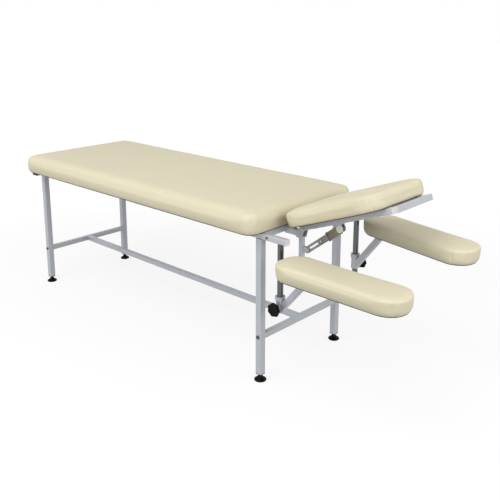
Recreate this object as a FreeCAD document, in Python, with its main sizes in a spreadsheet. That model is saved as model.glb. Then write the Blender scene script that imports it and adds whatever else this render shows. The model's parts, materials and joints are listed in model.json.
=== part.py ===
import FreeCAD, Part
import math
import os
import re
import Sketcher

# Massage couch with a tilting headrest on a telescopic strut and two swinging armrests.
# X runs from the foot end to the head end, Y to the far side and Z up, in millimetres.
# The heights of the couch count from the floor, and its lengths from midway between the legs.

sizes = {
    # Legs, feet and stretchers
    "leg_spacing_x": 1630,
    "leg_spacing_y": 520,
    "leg_side": 30,
    "leg_bottom": 32,
    "tube_wall": 1.5,
    "tube_corner": 3,
    "disc_radius": 26,
    "disc_edge": 1.2,
    "disc_rim": 5,
    "shoulder_radius": 21,
    "shoulder_height": 9.5,
    "waist_radius": 13,
    "waist_height": 14.5,
    "neck_radius": 9,
    "neck_height": 21,
    "level_play": 4,
    "stud_radius": 5,
    "stud_length": 27,
    "stretcher_height": 200,
    # Top frame
    "rail_side": 25,
    "rail_top": 655,
    "foot_rail_width": 50,
    "foot_rail_reach": 42,
    "foot_rail_overhang": 38,
    "bracket_reach": 33.5,
    "bracket_screw_reach": 28,
    # Plugs, screws, bolts, pins and their clearances
    "plug_flange": 3,
    "cap_flange": 2.5,
    "plug_depth": 12,
    "plug_gap": 0.2,
    "leg_plug_depth": 25,
    "running_gap": 0.05,
    "hole_gap": 0.15,
    "soft_gap": 0.3,
    "bolt_radius": 4,
    "bolt_head_radius": 7,
    "bolt_head": 5,
    "block_depth": 20,
    "screw_radius": 2.5,
    "screw_head_radius": 5,
    "screw_head": 2.5,
    "screw_bite": 8,
    "screw_inset": 115,
    "screw_inner": 250,
    "pin_radius": 4,
    "pin_head_radius": 7,
    "pin_head": 3,
    "side_gap": 0.5,
    # Main pad
    "main_overhang_foot": 4,
    "main_overhang_head": 10,
    "main_width": 700,
    "main_top": 748,
    "main_corner": 55,
    "main_round": 22,
    "hem_round": 7,
    "board_thickness": 12,
    "board_inset": 12,
    "skirt_rise": 3,
    # Headrest and its hinge
    "hinge_reach": 92,
    "hinge_rise": 15,
    "headrest_angle": 20.5,
    "support_spacing": 230,
    "stub_end_gap": 1,
    "stub_drop": 5,
    "ear_thickness": 4,
    "ear_radius": 11.5,
    "bracket_length": 30,
    "bracket_nose": 1,
    "headrest_setback": 52,
    "headrest_length": 478,
    "headrest_width": 416,
    "headrest_thickness": 68,
    "hinge_end_corner": 100,
    "head_end_corner": 90,
    "headrest_round": 28,
    "opening_start": 100,
    "opening_length": 235,
    "opening_width": 110,
    "opening_border": 6,
    "cross_tube_gap": 12.5,
    "cross_tube_length": 250,
    "hinge_plug_reach": 18,
    "hinge_plug_depth": 20,
    "headrest_screw_near": 60,
    "headrest_screw_far": 380,
    # Telescopic strut below the near headrest rail
    "strut_post_side": 20,
    "strut_post_length": 121,
    "strut_lug_reach": 19,
    "strut_fall": 93,
    "strut_reach": 185,
    "strut_drop": 32,
    "lug_thickness": 3,
    "lug_radius": 12,
    "plate_thickness": 5,
    "plate_width": 28,
    "plate_length": 158,
    "slot_start": 17,
    "slot_end": 68,
    "slot_radius": 3.5,
    "catch_place": 84,
    "catch_radius": 4,
    "channel_length": 80,
    "channel_gap": 2.2,
    "channel_wall": 1.5,
    "channel_web": 17,
    "channel_collar": 4,
    "collar_lip": 1.5,
    "eye_radius": 15,
    "eye_width": 15,
    "pin_cap_radius": 15,
    "pin_cap": 4,
    # Armrest posts, bushes and sleeves
    "post_reach": 91,
    "post_radius": 12.5,
    "post_wall": 2,
    "post_length": 288,
    "post_overhang": 1,
    "bush_radius": 14,
    "bush_inset": 2,
    "flange_radius": 21,
    "flange_height": 16,
    "sleeve_radius": 17.5,
    "sleeve_length": 50.7,
    "sleeve_play": 0.3,
    # Armrest knobs
    "boss_radius": 9,
    "boss_reach": 25,
    "knob_rise": 18,
    "knob_play": 1,
    "knob_neck_radius": 12,
    "knob_neck": 6,
    "knob_thickness": 14,
    "lobe_radius": 9,
    "lobe_circle": 19,
    "knob_round": 2.5,
    "knob_tip_gap": 0.4,
    # Armrests
    "arm_slope": 50,
    "arm_rise": 183,
    "arm_plate_thickness": 4,
    "arm_plate_start": 95,
    "arm_plate_length": 150,
    "arm_plate_width": 40,
    "arm_screw_inset": 16,
    "arm_start": 42,
    "arm_length": 565,
    "arm_width": 176,
    "arm_offset": 44,
    "arm_pad_thickness": 64,
    "arm_body_corner": 80,
    "arm_head_corner": 86,
    "arm_round": 20,
    "far_swing": 12,
    "far_raise": 45,
}

doc = FreeCAD.newDocument("massage_couch")
sheet = doc.addObject("Spreadsheet::Sheet", "sizes")
for row, (alias, number) in enumerate(sizes.items(), start=1):
    sheet.set("A%d" % row, alias)
    sheet.set("B%d" % row, str(number))
    sheet.setAlias("B%d" % row, alias)
doc.recompute()

word = re.compile(r"\b[a-z][a-z_]+\b")
pieces = []
steps = []


def bind(text):
    """Turn a formula in plain aliases into an expression on the sheet."""
    return word.sub(lambda found: "sizes." + found.group() if found.group() in sizes else found.group(), text)


def value(text):
    return float(sheet.evalExpression(bind(text)))


# Places that several pieces share
leg_x = "(leg_spacing_x / 2)"
side_y = "(leg_spacing_y / 2)"
leg_half = "(leg_side / 2)"
leg_outer = "(leg_spacing_x / 2 + leg_side / 2)"
rail_half = "(rail_side / 2)"
rail_bottom = "(rail_top - rail_side)"
rail_middle = "(rail_top - rail_side / 2)"
foot_rail_outer = "(-" + leg_outer + " - foot_rail_overhang)"
foot_rail_inner = "(" + foot_rail_outer + " + foot_rail_width)"
foot_rail_length = "(leg_spacing_y + 2 * foot_rail_reach)"
head_rail_start = "(" + leg_outer + " - rail_side)"
main_foot = "(" + leg_outer + " + foot_rail_overhang + main_overhang_foot)"
main_head = "(" + leg_outer + " + main_overhang_head)"
post_x = "(" + leg_outer + " + post_reach)"
bracket_end = "(" + post_x + " + bracket_reach)"
bracket_screw_x = "(" + leg_outer + " + bracket_screw_reach)"
hinge_x = "(" + leg_outer + " + hinge_reach)"
hinge_z = "(rail_top - stub_drop + hinge_rise)"
stub_end = "(" + hinge_x + " - stub_end_gap)"
strut_x = "(" + stub_end + " + strut_lug_reach)"
strut_z = "(" + hinge_z + " - strut_fall)"
stub_top = "(rail_top - stub_drop)"
stub_middle = "(rail_top - stub_drop - rail_side / 2)"
stub_bottom = "(rail_top - stub_drop - rail_side)"
support_y = "(support_spacing / 2)"
rail_end = "(headrest_length - headrest_setback + cross_tube_gap)"
in_tube = "(tube_wall + plug_gap)"
tube_inner_corner = "(tube_corner - tube_wall)"
screw_hole = "(screw_radius + hole_gap)"
bolt_hole = "(bolt_radius + hole_gap)"
pin_hole = "(pin_radius + running_gap)"
neck_top = "(leg_bottom - plug_flange - level_play)"
post_bottom = "(" + rail_bottom + " - post_length)"
sleeve_bottom = "(" + post_bottom + " + post_overhang)"
bush_bottom = "(" + sleeve_bottom + " + bush_inset)"
flange_bottom = "(" + sleeve_bottom + " + sleeve_length + sleeve_play)"
knob_z = "(" + sleeve_bottom + " + knob_rise)"
arm_top = "(" + sleeve_bottom + " + arm_rise)"
arm_inset = "sqrt(sleeve_radius ^ 2 - " + rail_half + " ^ 2)"
screw_reach = "(" + leg_x + " - screw_inset)"
screw_places = ("-" + screw_reach, "-screw_inner", "screw_inner", screw_reach)

# The strut runs from the pin on its post to the pin below the headrest.
tilt = "(headrest_angle * 1deg)"
strut_run = ("(" + hinge_x + " - " + strut_x
             + " + strut_reach * cos(" + tilt + ") + strut_drop * sin(" + tilt + "))")
strut_rise = "(strut_fall + strut_reach * sin(" + tilt + ") - strut_drop * cos(" + tilt + "))"
strut_angle = "atan(" + strut_rise + " / " + strut_run + ")"

# The origin is the middle of the whole outline, at the floor.
swing = "(far_swing * 1deg)"
near_edge = "(" + side_y + " + arm_offset + arm_width / 2)"
far_corner_in = "((arm_start + arm_body_corner) * sin(" + swing + "))"
far_corner_out = "((arm_offset + arm_width / 2 - arm_body_corner) * cos(" + swing + "))"
far_edge = "(" + side_y + " - " + far_corner_in + " + " + far_corner_out + " + arm_body_corner)"
centre_x = "((" + post_x + " + arm_start + arm_length - " + main_foot + ") / 2)"
centre_y = "((" + far_edge + " - " + near_edge + ") / 2)"

# A frame is the place of its origin, the axis that it turns about and its angle.
up = (0, 0, 1)
couch = ("0", "0", "0", up, "0")
headrest = (hinge_x, "0", hinge_z, (0, -1, 0), "headrest_angle")
strut_low = (strut_x, "-" + support_y, strut_z, (0, -1, 0), strut_angle)
upper_x = strut_x + " + " + strut_run
upper_z = strut_z + " + " + strut_rise
strut_high = (upper_x, "-" + support_y, upper_z, (0, -1, 0), strut_angle)

# Each side has its name, its sign, and the frames of its armrest and of what slides on its post.
near_post = (post_x, "-" + side_y, "0", up, "0")
far_post = (post_x, side_y, "far_raise", up, "0")
near = ("near", "-", near_post, near_post)
far = ("far", "", (post_x, side_y, "far_raise", (0, 0, -1), "far_swing"), far_post)
sides = (near, far)
ends = (("foot", "-"), ("head", ""))
corners = [(end, side[0], end_sign + leg_x, side[1] + side_y) for end, end_sign in ends for side in sides]


def new_piece(name, frame=couch):
    body = doc.addObject("PartDesign::Body", name)
    body.Label = name
    body.AllowCompound = True
    x, y, z, axis, angle = frame
    body.Placement = FreeCAD.Placement(FreeCAD.Vector(), FreeCAD.Rotation(FreeCAD.Vector(*axis), 1))
    body.setExpression("Placement.Base.x", bind(x + " - " + centre_x))
    body.setExpression("Placement.Base.y", bind(y + " - " + centre_y))
    body.setExpression("Placement.Base.z", bind(z))
    body.setExpression("Placement.Rotation.Angle", bind(angle))
    pieces.append(body)
    return body


def fix(sketch, kind, places, text):
    """Add a dimension that follows the sheet."""
    number = sketch.addConstraint(Sketcher.Constraint(kind, *places, value(text)))
    sketch.setExpression("Constraints[%d]" % number, bind(text))


def fix_point(sketch, shape, point, x, y):
    fix(sketch, "DistanceX", (-1, 1, shape, point), x)
    fix(sketch, "DistanceY", (-1, 1, shape, point), y)


def join(sketch, kind, shapes):
    """Join the end of each line or arc to the start of the next, all round."""
    for shape, after in zip(shapes, shapes[1:] + shapes[:1]):
        sketch.addConstraint(Sketcher.Constraint(kind, shape, 2, after, 1))


def draw_polygon(sketch, *points):
    spots = [FreeCAD.Vector(value(x), value(y), 0) for x, y in points]
    lines = [sketch.addGeometry(Part.LineSegment(a, b)) for a, b in zip(spots, spots[1:] + spots[:1])]
    join(sketch, "Coincident", lines)
    for line, (x, y) in zip(lines, points):
        fix_point(sketch, line, 1, x, y)


def draw_circle(sketch, x, y, radius):
    centre = FreeCAD.Vector(value(x), value(y), 0)
    number = sketch.addGeometry(Part.Circle(centre, FreeCAD.Vector(0, 0, 1), value(radius)))
    fix_point(sketch, number, 3, x, y)
    fix(sketch, "Radius", (number,), radius)


def draw_round(sketch, turns):
    """Arcs and the lines between them; a turn is its centre, radius, first angle and sweep."""
    arcs = []
    for x, y, radius, first, sweep in turns:
        centre = FreeCAD.Vector(value(x), value(y), 0)
        ring = Part.Circle(centre, FreeCAD.Vector(0, 0, 1), value(radius))
        arcs.append(Part.ArcOfCircle(ring, math.radians(first), math.radians(first + sweep)))
    numbers = []
    for arc, after in zip(arcs, arcs[1:] + arcs[:1]):
        numbers.append(sketch.addGeometry(arc))
        numbers.append(sketch.addGeometry(Part.LineSegment(arc.EndPoint, after.StartPoint)))
    join(sketch, "Tangent", numbers)
    for number, (x, y, radius, first, sweep) in zip(numbers[::2], turns):
        fix_point(sketch, number, 3, x, y)
        fix(sketch, "Radius", (number,), radius)


def draw_slot(sketch, start, end, radius):
    draw_round(sketch, [(end, "0", radius, -90, 180), (start, "0", radius, 90, 180)])


def draw_rounded(sketch, left, low, right, high, left_radius, right_radius):
    """A rectangle whose corners have one radius at each end."""
    left_x = left + " + " + left_radius
    right_x = right + " - " + right_radius
    draw_round(sketch, [
        (right_x, low + " + " + right_radius, right_radius, -90, 90),
        (right_x, high + " - " + right_radius, right_radius, 0, 90),
        (left_x, high + " - " + left_radius, left_radius, 90, 90),
        (left_x, low + " + " + left_radius, left_radius, 180, 90),
    ])


drawers = {"polygon": draw_polygon, "circle": draw_circle, "slot": draw_slot, "rounded": draw_rounded}


def draw(body, plane, offset, shapes):
    sketch = body.newObject("Sketcher::SketchObject", body.Name + "_sketch")
    roles = {feature.Role: feature for feature in body.Origin.OriginFeatures}
    sketch.AttachmentSupport = [(roles[plane], "")]
    sketch.MapMode = "FlatFace"
    sketch.setExpression("AttachmentOffset.Base.z", bind(offset))
    for kind, *arguments in shapes:
        drawers[kind](sketch, *arguments)
    return sketch


def extrude(body, kind, plane, start, depth, shapes):
    """Fill or cut from start, over depth, along X, Y or Z; the XZ plane faces backwards."""
    offset = "-(" + start + ") - (" + depth + ")" if plane == "XZ_Plane" else start
    sketch = draw(body, plane, offset, shapes)
    feature = body.newObject("PartDesign::" + kind, body.Name + "_" + kind)
    feature.Profile = sketch
    feature.setExpression("Length", bind(depth))
    steps.append((kind, feature))
    return feature


def add_up(body, start, depth, *shapes):
    extrude(body, "Pad", "XY_Plane", start, depth, shapes)


def add_across(body, start, depth, *shapes):
    extrude(body, "Pad", "XZ_Plane", start, depth, shapes)


def add_along(body, start, depth, *shapes):
    extrude(body, "Pad", "YZ_Plane", start, depth, shapes)


def cut_up(body, start, depth, *shapes):
    extrude(body, "Pocket", "XY_Plane", start, depth, shapes).Reversed = True


def cut_across(body, start, depth, *shapes):
    extrude(body, "Pocket", "XZ_Plane", start, depth, shapes).Reversed = True


def round_edges(body, radius, chosen):
    """Fillet the edges of the last step that are chosen by their box and the body's box."""
    doc.recompute()
    base = body.Tip
    whole = base.Shape.BoundBox
    edges = enumerate(base.Shape.Edges, start=1)
    names = ["Edge%d" % number for number, edge in edges if chosen(edge.BoundBox, whole)]
    fillet = body.newObject("PartDesign::Fillet", body.Name + "_fillet")
    fillet.Base = (base, names)
    fillet.setExpression("Radius", bind(radius))
    steps.append(("Fillet", fillet))


def at_level(box, level):
    return abs(box.ZMin - level) < 0.01 and abs(box.ZMax - level) < 0.01


def outside(box, whole):
    """True of an outer edge of a cushion, which lies nearer the rim than any opening."""
    reach = min(whole.YLength, whole.XLength) / 4
    middle = (box.YMin + box.YMax) / 2 - (whole.YMin + whole.YMax) / 2
    return abs(middle) > reach or box.XMin < whole.XMin + 1 or box.XMax > whole.XMax - 1


def block(x, y, width, depth, inset="0", corner="tube_corner"):
    """A round-cornered rectangle about a centre, drawn smaller by the inset."""
    left = x + " - " + width + " / 2 + " + inset
    right = x + " + " + width + " / 2 - " + inset
    low = y + " - " + depth + " / 2 + " + inset
    high = y + " + " + depth + " / 2 - " + inset
    return ("rounded", left, low, right, high, corner, corner)


def tube(x, y, width="rail_side", depth="rail_side"):
    return block(x, y, width, depth), block(x, y, width, depth, "tube_wall", tube_inner_corner)


def plug_core(x, y, width="rail_side", depth="rail_side"):
    return block(x, y, width, depth, in_tube, tube_inner_corner)


def rod(name, axis_x, axis_z, runs, frame=couch):
    """A turned piece across the couch; a run is its start, length and radius."""
    body = new_piece(name, frame)
    add_runs(body, axis_x, axis_z, runs)
    return body


def add_runs(body, axis_x, axis_z, runs):
    for start, length, radius in runs:
        add_across(body, start, length, ("circle", axis_x, axis_z, radius))


def make_legs():
    for end, side, x, y in corners:
        leg = new_piece("leg_" + end + "_" + side)
        add_up(leg, "leg_bottom", rail_bottom + " - leg_bottom", *tube(x, y, "leg_side", "leg_side"))
        cut_across(leg, y + " - leg_side", "2 * leg_side", ("circle", x, "stretcher_height", bolt_hole))


def make_leg_plugs():
    plugs = new_piece("leg_plugs")
    bores = [("circle", x, y, "stud_radius + running_gap") for _, _, x, y in corners]
    flanges = [block(x, y, "leg_side", "leg_side") for _, _, x, y in corners]
    cores = [plug_core(x, y, "leg_side", "leg_side") for _, _, x, y in corners]
    add_up(plugs, "leg_bottom - plug_flange", "plug_flange", *flanges, *bores)
    add_up(plugs, "leg_bottom", "leg_plug_depth", *cores, *bores)


def make_levellers():
    for end, side, x, y in corners:
        foot = new_piece("leveller_" + end + "_" + side, (x, y, "0", up, "0"))
        profile = draw(foot, "XZ_Plane", "0", [(
            "polygon", ("0", "0"), ("disc_radius - disc_edge", "0"), ("disc_radius", "disc_edge"),
            ("disc_radius", "disc_rim"), ("shoulder_radius", "shoulder_height"),
            ("waist_radius", "waist_height"), ("neck_radius", "neck_height"), ("neck_radius", neck_top),
            ("stud_radius", neck_top), ("stud_radius", neck_top + " + stud_length"),
            ("0", neck_top + " + stud_length"))])
        turned = foot.newObject("PartDesign::Revolution", foot.Name + "_turned")
        turned.Profile = profile
        turned.ReferenceAxis = (profile, ["V_Axis"])
        turned.Angle = 360
        steps.append(("Revolution", turned))


def make_stretchers():
    between = "(leg_spacing_y - leg_side)"
    level = "stretcher_height"
    for end, sign in ends:
        bar = new_piece(end + "_crossbar")
        add_across(bar, "-" + between + " / 2", between, *tube(sign + leg_x, level))
    middle = new_piece("middle_rail")
    length = "(leg_spacing_x - rail_side)"
    add_along(middle, "-" + length + " / 2", length, *tube("0", level))
    blocks = new_piece("crossbar_blocks")
    bolts = new_piece("stretcher_bolts")
    leg_face = "(" + side_y + " + " + leg_half + ")"
    for _, sign in ends:
        x = sign + leg_x
        core = plug_core(x, level)
        bore = ("circle", x, level, bolt_hole)
        add_across(blocks, "-" + between + " / 2", "block_depth", core, bore)
        add_across(blocks, between + " / 2 - block_depth", "block_depth", core, bore)
        shank = "(leg_side + block_depth)"
        add_runs(bolts, x, level, [
            ("-" + leg_face + " - bolt_head", "bolt_head", "bolt_head_radius"),
            ("-" + leg_face, shank, "bolt_radius"),
            (leg_face + " - " + shank, shank, "bolt_radius"),
            (leg_face, "bolt_head", "bolt_head_radius"),
        ])


def make_top_frame():
    for side, sign, _, _ in sides:
        rail = new_piece("side_rail_" + side)
        y = sign + side_y
        length = bracket_end + " - " + foot_rail_inner
        add_along(rail, foot_rail_inner, length, *tube(y, rail_middle))
        cut_up(rail, rail_bottom, "rail_side", *[("circle", x, y, screw_hole) for x in screw_places])
        wall = "(" + side_y + " + " + rail_half + " - tube_wall)"
        start = "-" + wall + " - tube_wall" if sign else wall
        cut_across(rail, start, "tube_wall", ("circle", bracket_screw_x, rail_middle, screw_hole))
    foot_rail = new_piece("foot_cross_rail")
    middle = "(" + foot_rail_outer + " + foot_rail_width / 2)"
    section = tube(middle, rail_middle, "foot_rail_width", "rail_side")
    add_across(foot_rail, "-" + foot_rail_length + " / 2", foot_rail_length, *section)
    head_rail = new_piece("head_cross_rail")
    between = "(leg_spacing_y - rail_side)"
    section = tube("(" + head_rail_start + " + " + rail_half + ")", rail_middle)
    add_across(head_rail, "-" + between + " / 2", between, *section)
    make_plugs("foot_rail_plugs", middle, rail_middle, foot_rail_length, "plug_flange", "foot_rail_width",
               couch)


def make_plugs(name, x, z, length, flange, width, frame):
    """Two end plugs of a tube that lies across the couch."""
    plugs = new_piece(name, frame)
    face = block(x, z, width, "rail_side")
    core = plug_core(x, z, width)
    add_across(plugs, "-" + length + " / 2 - " + flange, flange, face)
    add_across(plugs, "-" + length + " / 2", "plug_depth", core)
    add_across(plugs, length + " / 2 - plug_depth", "plug_depth", core)
    add_across(plugs, length + " / 2", flange, face)


def make_bracket_ends():
    plugs = new_piece("bracket_plugs")
    rails = [sign + side_y for _, sign, _, _ in sides]
    add_along(plugs, bracket_end + " - plug_depth", "plug_depth",
              *[plug_core(y, rail_middle) for y in rails])
    add_along(plugs, bracket_end, "cap_flange",
              *[block(y, rail_middle, "rail_side", "rail_side") for y in rails])
    face = "(" + side_y + " + " + rail_half + ")"
    rod("bracket_screws", bracket_screw_x, rail_middle, [
        ("-" + face + " - screw_head", "screw_head", "screw_head_radius"),
        ("-" + face, "plug_depth", "screw_radius"),
        (face + " - plug_depth", "plug_depth", "screw_radius"),
        (face, "screw_head", "screw_head_radius"),
    ])
    for side, sign, _, _ in sides:
        post = new_piece("armrest_post_" + side)
        y = sign + side_y
        add_up(post, post_bottom, "post_length", ("circle", post_x, y, "post_radius"),
               ("circle", post_x, y, "post_radius - post_wall"))


def make_main_pad():
    outline = ["-" + main_foot, "-main_width / 2", main_head, "main_width / 2"]
    board = new_piece("main_board")
    radius = "(main_corner - board_inset)"
    add_up(board, "rail_top", "board_thickness", grown(outline, "-board_inset", radius, radius))
    spots = [(x, sign + side_y) for x in screw_places for _, sign, _, _ in sides]
    cut_up(board, "rail_top", "screw_bite + soft_gap", *[("circle", x, y, screw_hole) for x, y in spots])
    cushion = new_piece("main_cushion")
    bottom = "(rail_top + skirt_rise)"
    add_up(cushion, bottom, "main_top - " + bottom, grown(outline, "0", "main_corner", "main_corner"))
    round_edges(cushion, "main_round", lambda box, whole: at_level(box, whole.ZMax))
    round_edges(cushion, "hem_round", lambda box, whole: at_level(box, whole.ZMin))
    pocket = grown(outline, "-board_inset + soft_gap", radius, radius)
    cut_up(cushion, bottom, "board_thickness - skirt_rise + soft_gap", pocket)
    add_screws("board_screws", rail_bottom, "rail_side", spots, couch)


def grown(outline, by, left_radius, right_radius):
    """A cushion outline moved outward by a distance."""
    left, low, right, high = outline
    return ("rounded", left + " - (" + by + ")", low + " - (" + by + ")",
            right + " + " + by, high + " + " + by, left_radius, right_radius)


def add_screws(name, seat, through, spots, frame):
    """Screws with their heads below a seat, through a thickness and into the board above."""
    screws = new_piece(name, frame)
    heads = [("circle", x, y, "screw_head_radius") for x, y in spots]
    shanks = [("circle", x, y, "screw_radius") for x, y in spots]
    add_up(screws, seat + " - screw_head", "screw_head", *heads)
    add_up(screws, seat, through + " + screw_bite", *shanks)


def make_hinges():
    for side, sign, _, _ in sides:
        stub = new_piece("headrest_stub_" + side)
        y = sign + support_y
        add_along(stub, leg_outer, stub_end + " - " + leg_outer, *tube(y, stub_middle))
        bracket = new_piece("hinge_bracket_" + side)
        width = "(rail_side + 2 * ear_thickness)"
        front = "(" + hinge_x + " + bracket_nose)"
        back = "(" + front + " - bracket_length)"
        web = ("polygon", (back, y + " - " + width + " / 2"), (front, y + " - " + width + " / 2"),
               (front, y + " + " + width + " / 2"), (back, y + " + " + width + " / 2"))
        add_up(bracket, stub_bottom + " - ear_thickness", "ear_thickness", web)
        ear = ("polygon", (back, stub_bottom), (front, stub_bottom), (hinge_x + " + ear_radius", hinge_z),
               (hinge_x + " - ear_radius", hinge_z), (back, stub_top))
        for start in (y + " - " + rail_half + " - ear_thickness", y + " + " + rail_half):
            add_across(bracket, start, "ear_thickness", ear)
            add_across(bracket, start, "ear_thickness", ("circle", hinge_x, hinge_z, "ear_radius"))
        cut_across(bracket, y + " - " + width + " / 2", width, ("circle", hinge_x, hinge_z, pin_hole))
    half = "(" + rail_half + " + ear_thickness)"
    runs = []
    for _, sign, _, _ in sides:
        y = sign + support_y
        runs.append((y + " - " + half + " - pin_head", "pin_head", "pin_head_radius"))
        runs.append((y + " - " + half, "2 * " + half, "pin_radius"))
        runs.append((y + " + " + half, "pin_head", "pin_head_radius"))
    rod("hinge_pins", hinge_x, hinge_z, runs)


def make_strut_post():
    post = new_piece("strut_post")
    side = "strut_post_side"
    x = "(" + stub_end + " - strut_post_side / 2)"
    y = "-" + support_y
    bottom = "(" + stub_bottom + " - ear_thickness - strut_post_length)"
    add_up(post, bottom, "strut_post_length", block(x, y, side, side))
    cut_up(post, bottom + " + tube_wall", "strut_post_length - tube_wall",
           block(x, y, side, side, "tube_wall", tube_inner_corner))
    lug = new_piece("strut_lug")
    low = "(" + strut_z + " - lug_radius)"
    high = "(" + strut_z + " + lug_radius)"
    face = stub_end
    inner = "(plate_thickness / 2 + side_gap)"
    outer = "(plate_thickness / 2 + side_gap + lug_thickness)"
    base = ("polygon", (face, low), (face + " + lug_thickness", low),
            (face + " + lug_thickness", high), (face, high))
    add_across(lug, y + " - " + outer, "2 * " + outer, base)
    ear = ("polygon", (face, low), (strut_x, low), (strut_x, high), (face, high))
    for start in (y + " - " + outer, y + " + " + inner):
        add_across(lug, start, "lug_thickness", ear)
        add_across(lug, start, "lug_thickness", ("circle", strut_x, strut_z, "lug_radius"))
    cut_across(lug, y + " - " + outer, "2 * " + outer, ("circle", strut_x, strut_z, pin_hole))
    rod("strut_lower_pin", strut_x, strut_z, [
        (y + " - " + outer + " - pin_head", "pin_head", "pin_head_radius"),
        (y + " - " + outer, "2 * " + outer, "pin_radius"),
        (y + " + " + outer, "pin_head", "pin_head_radius"),
    ])


def make_headrest():
    outline = ["-headrest_setback", "-headrest_width / 2", "(headrest_length - headrest_setback)",
               "headrest_width / 2"]
    half = "(opening_width / 2)"
    start = "(opening_start + " + half + ")"
    end = "(opening_start + opening_length - " + half + ")"
    screws = ("headrest_screw_near", "headrest_screw_far")
    spots = [(x, sign + support_y) for x in screws for _, sign, _, _ in sides]
    board = new_piece("headrest_board", headrest)
    left_radius = "(hinge_end_corner - board_inset)"
    right_radius = "(head_end_corner - board_inset)"
    add_up(board, rail_half, "board_thickness", grown(outline, "-board_inset", left_radius, right_radius),
           ("slot", start, end, half + " + opening_border"))
    cut_up(board, rail_half, "screw_bite + soft_gap", *[("circle", x, y, screw_hole) for x, y in spots])
    cushion = new_piece("headrest_cushion", headrest)
    bottom = "(" + rail_half + " + skirt_rise)"
    add_up(cushion, bottom, "headrest_thickness",
           grown(outline, "0", "hinge_end_corner", "head_end_corner"), ("slot", start, end, half))
    round_edges(cushion, "headrest_round",
                lambda box, whole: at_level(box, whole.ZMax) and outside(box, whole))
    round_edges(cushion, "hem_round", lambda box, whole: at_level(box, whole.ZMin) and outside(box, whole))
    round_edges(cushion, "hem_round", lambda box, whole: at_level(box, whole.ZMax) and not at_rim(box, whole))
    cut_up(cushion, bottom, "board_thickness - skirt_rise + soft_gap",
           grown(outline, "-board_inset + soft_gap", left_radius, right_radius),
           ("slot", start, end, half + " + opening_border - soft_gap"))
    add_screws("headrest_screws", "-" + rail_half, "rail_side", spots, headrest)


def at_rim(box, whole):
    """True of an edge that is as wide as the rounded top's own rim."""
    return box.XLength > whole.XLength * 0.75 or box.YLength > whole.YLength * 0.5


def make_headrest_frame():
    for side, sign, _, _ in sides:
        y = sign + support_y
        rail = new_piece("headrest_rail_" + side, headrest)
        add_along(rail, "hinge_plug_reach", rail_end + " - hinge_plug_reach", *tube(y, "0"))
        cut_up(rail, "-" + rail_half, "rail_side",
               *[("circle", x, y, screw_hole) for x in ("headrest_screw_near", "headrest_screw_far")])
    plugs = new_piece("hinge_plugs", headrest)
    width = "(rail_side - 2 * side_gap)"
    nose = ("polygon", ("0", "-" + rail_half), ("hinge_plug_reach", "-" + rail_half),
            ("hinge_plug_reach", rail_half), ("0", rail_half))
    for _, sign, _, _ in sides:
        y = sign + support_y
        add_across(plugs, y + " - " + width + " / 2", width, nose)
        add_across(plugs, y + " - " + width + " / 2", width, ("circle", "0", "0", rail_half))
        add_along(plugs, "hinge_plug_reach", "hinge_plug_depth", plug_core(y, "0"))
    cut_across(plugs, "-support_spacing", "2 * support_spacing", ("circle", "0", "0", pin_hole))
    tube_x = "(" + rail_end + " + " + rail_half + ")"
    cross_tube = new_piece("headrest_cross_tube", headrest)
    add_across(cross_tube, "-cross_tube_length / 2", "cross_tube_length", *tube(tube_x, "0"))
    make_plugs("cross_tube_plugs", tube_x, "0", "cross_tube_length", "cap_flange", "rail_side", headrest)


def make_strut():
    lug = new_piece("strut_upper_lug", headrest)
    y = "-" + support_y
    inner = "(eye_width / 2 + side_gap)"
    outer = "(eye_width / 2 + side_gap + lug_thickness)"
    left = "(strut_reach - lug_radius)"
    right = "(strut_reach + lug_radius)"
    roof = "(-" + rail_half + " - lug_thickness)"
    add_across(lug, y + " - " + outer, "2 * " + outer,
               ("polygon", (left, roof), (right, roof), (right, "-" + rail_half), (left, "-" + rail_half)))
    ear = ("polygon", (left, "-strut_drop"), (right, "-strut_drop"),
           (right, "-" + rail_half), (left, "-" + rail_half))
    for start in (y + " - " + outer, y + " + " + inner):
        add_across(lug, start, "lug_thickness", ear)
        add_across(lug, start, "lug_thickness", ("circle", "strut_reach", "-strut_drop", "lug_radius"))
    cut_across(lug, y + " - " + outer, "2 * " + outer, ("circle", "strut_reach", "-strut_drop", pin_hole))
    rod("strut_upper_pin", "strut_reach", "-strut_drop", [
        (y + " - " + outer + " - pin_cap", "pin_cap", "pin_cap_radius"),
        (y + " - " + outer, "2 * " + outer, "pin_radius"),
        (y + " + " + outer, "pin_head", "pin_head_radius"),
    ], headrest)
    make_strut_plate()
    make_strut_channel()


def make_strut_plate():
    plate = new_piece("strut_plate", strut_low)
    half = "(plate_width / 2)"
    add_across(plate, "-plate_thickness / 2", "plate_thickness",
               ("polygon", ("0", "-" + half), ("plate_length", "-" + half),
                ("plate_length", half), ("0", half)))
    add_across(plate, "-plate_thickness / 2", "plate_thickness", ("circle", "0", "0", half))
    cut_across(plate, "-plate_thickness / 2", "plate_thickness",
               ("slot", "slot_start", "slot_end", "slot_radius"), ("circle", "0", "0", pin_hole),
               ("circle", "catch_place", "0", "catch_radius"))


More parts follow.
